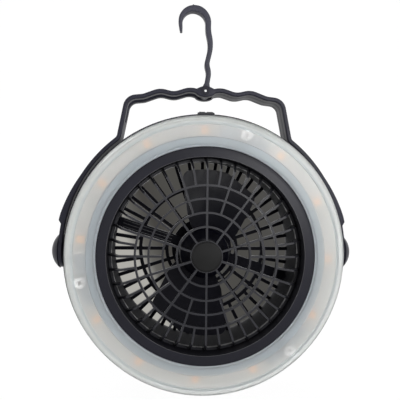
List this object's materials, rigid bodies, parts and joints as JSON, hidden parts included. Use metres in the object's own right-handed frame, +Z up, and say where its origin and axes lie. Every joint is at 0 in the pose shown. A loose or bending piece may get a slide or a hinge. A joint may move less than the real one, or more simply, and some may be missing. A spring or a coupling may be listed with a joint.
{
  "type": "portable camping fan",
  "caption": "Round battery fan with a ring light, a tilting carrying handle with a fold-down hanging hook, guarded two-blade rotor and push keys on top.",
  "frame": {"origin": "where the fan's axis meets the flat rear face of the hub plate", "axes": "+Z up towards the hanging hook, +Y to the rear along the fan's axis, +X to the right seen from the front"},
  "size_m": [0.2436, 0.0648, 0.3085],
  "materials": {
    "housing_plastic": "fine matt texture",
    "rear_grille_plastic": "satin",
    "bezel_plastic": "satin",
    "front_grille_plastic": "satin",
    "cap_plastic": "satin",
    "diffuser": "frosted",
    "tray_plastic": "white reflector",
    "strip_board": "white coated board",
    "lamp": "glossy",
    "link_wire": "soft insulation",
    "screw_steel": "plated",
    "light_screw_steel": "plated",
    "motor_screw_steel": "plated",
    "motor_can": "plated",
    "bush_bronze": "sintered",
    "shaft_steel": "ground",
    "motor_lead": "soft insulation",
    "rotor_plastic": "satin, slightly clear",
    "handle_plastic": "fine matt texture",
    "cap_left_plastic": "satin",
    "cap_right_plastic": "satin",
    "pivot_steel": "plated",
    "sleeve_plastic": "smooth",
    "washer_rubber": "matt",
    "hook_plastic": "satin",
    "pin_steel": "dark plated",
    "fan_key_plastic": "satin",
    "light_key_plastic": "satin",
    "frame_plastic": "satin",
    "board": "coated board",
    "switch": "smooth",
    "port_steel": "plated",
    "cell_wrap": "shrink wrap",
    "saddle_plastic": "matt",
    "contact_metal": "plated"
  },
  "bodies": {
    "fan_body": {"rear_housing": "housing_plastic", "rear_grille": "rear_grille_plastic", "front_bezel": "bezel_plastic", "front_grille": "front_grille_plastic", "grille_cap": "cap_plastic", "light_ring": "diffuser", "light_tray": "tray_plastic", "lamp_strips": "strip_board", "lamps": "lamp", "lamp_link_wires": "link_wire", "housing_screws": "screw_steel", "light_ring_screws": "light_screw_steel", "motor_screws": "motor_screw_steel", "motor": "motor_can", "motor_bush": "bush_bronze", "motor_leads": "motor_lead", "pivot_screws": "pivot_steel", "pivot_sleeves": "sleeve_plastic", "pivot_washers": "washer_rubber", "key_frame": "frame_plastic", "control_board": "board", "push_switches": "switch", "charge_port": "port_steel", "battery_cells": "cell_wrap", "battery_saddles": "saddle_plastic", "battery_contacts": "contact_metal"},
    "rotor": {"fan_rotor": "rotor_plastic", "motor_shaft": "shaft_steel"},
    "handle": {"handle": "handle_plastic", "pivot_cap_left": "cap_left_plastic", "pivot_cap_right": "cap_right_plastic", "hook_pin": "pin_steel"},
    "hook": {"hook": "hook_plastic"},
    "fan_key": {"fan_key": "fan_key_plastic"},
    "light_key": {"light_key": "light_key_plastic"}
  },
  "joints": [
    {"name": "rotor_spin", "type": "hinge", "parent": "fan_body", "child": "rotor", "pos_m": [0, -0.03, 0], "axis": [0, 1, 0], "continuous": true},
    {"name": "handle_tilt", "type": "hinge", "parent": "fan_body", "child": "handle", "pos_m": [0, -0.022, 0], "axis": [1, 0, 0], "range_deg": [-180, 90]},
    {"name": "hook_fold", "type": "hinge", "parent": "handle", "child": "hook", "pos_m": [0, -0.022, 0.129], "axis": [0, -1, 0], "range_deg": [0, 90]},
    {"name": "fan_key_press", "type": "slide", "parent": "fan_body", "child": "fan_key", "axis": [0, 0, -1], "range_m": [0, 0.0008], "stiffness_N_per_m": 1500, "springref_m": -0.0002},
    {"name": "light_key_press", "type": "slide", "parent": "fan_body", "child": "light_key", "axis": [0, 0, -1], "range_m": [0, 0.0008], "stiffness_N_per_m": 1500, "springref_m": -0.0002}
  ]
}
